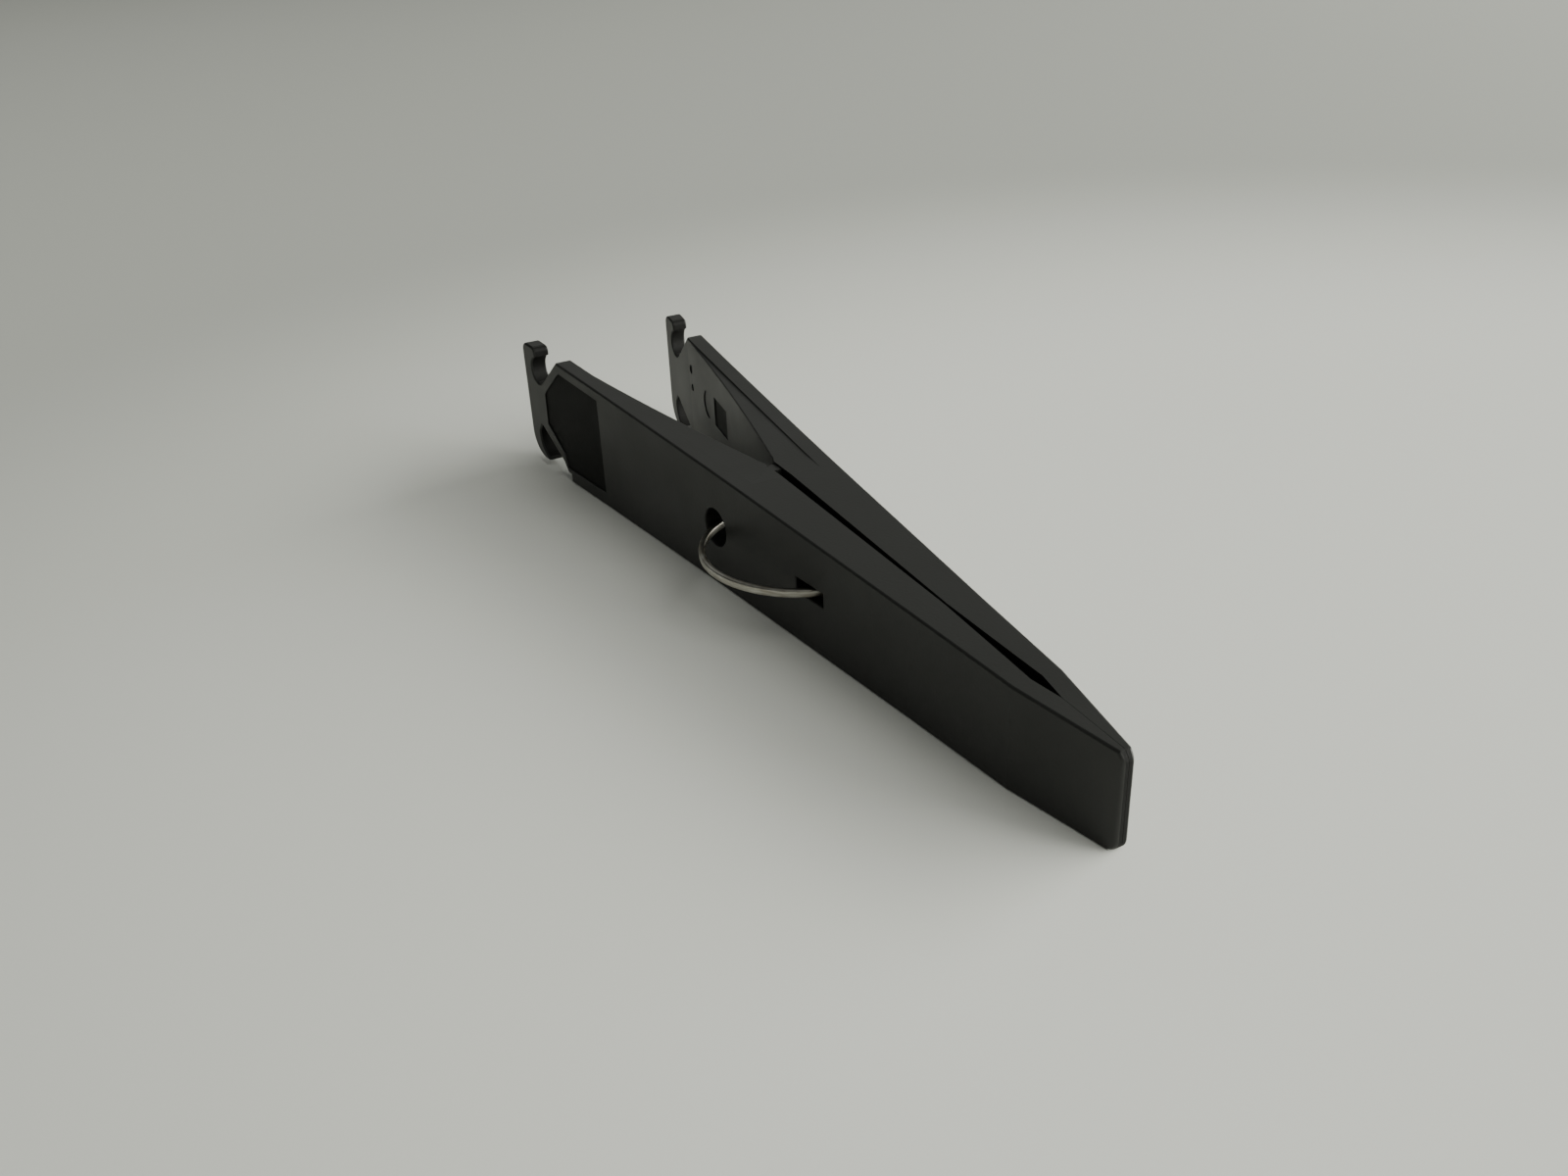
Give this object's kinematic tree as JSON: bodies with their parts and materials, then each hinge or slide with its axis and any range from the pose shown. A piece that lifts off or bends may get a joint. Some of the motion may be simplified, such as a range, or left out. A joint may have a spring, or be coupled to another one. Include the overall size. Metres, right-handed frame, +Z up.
{
  "type": "film hanging clip",
  "caption": "Long moulded-plastic spring clip for gripping and hanging film strips: tapering leaves that rock on a fulcrum, hooked at the handle end, closed by a flat-wire ring spring.",
  "frame": {"origin": "centre of the overall box in plan, on the table that the leaves' long edges lie on", "axes": "+X along the clip from the hook end to the jaw tip, +Y from the near leaf to the far leaf, +Z up from the table"},
  "size_m": [0.1306, 0.0276, 0.0202],
  "materials": {
    "moulded_leaf": "dark charcoal moulded plastic, satin, finely textured",
    "spring_wire": "bright flattened spring wire, drawn finish"
  },
  "bodies": {
    "near_side": {"near_leaf": "moulded_leaf"},
    "far_side": {"far_leaf": "moulded_leaf"},
    "spring": {"ring_spring": "spring_wire"}
  },
  "joints": [
    {"name": "leaf_hinge", "type": "hinge", "parent": "near_side", "child": "far_side", "pos_m": [-0.00475, 0, 0.008], "axis": [0, 0, 1], "range_deg": [0, 20], "stiffness_Nm_per_rad": 0.4, "springref_deg": -22.92, "deforming": ["ring_spring"]},
    {"name": "spring_follow", "type": "hinge", "parent": "near_side", "child": "spring", "pos_m": [-0.00475, 0, 0.008], "axis": [0, 0, 1], "range_deg": [0, 10]}
  ],
  "couplings": [
    {"joint": "spring_follow", "follows": "leaf_hinge", "ratio": 0.5}
  ]
}
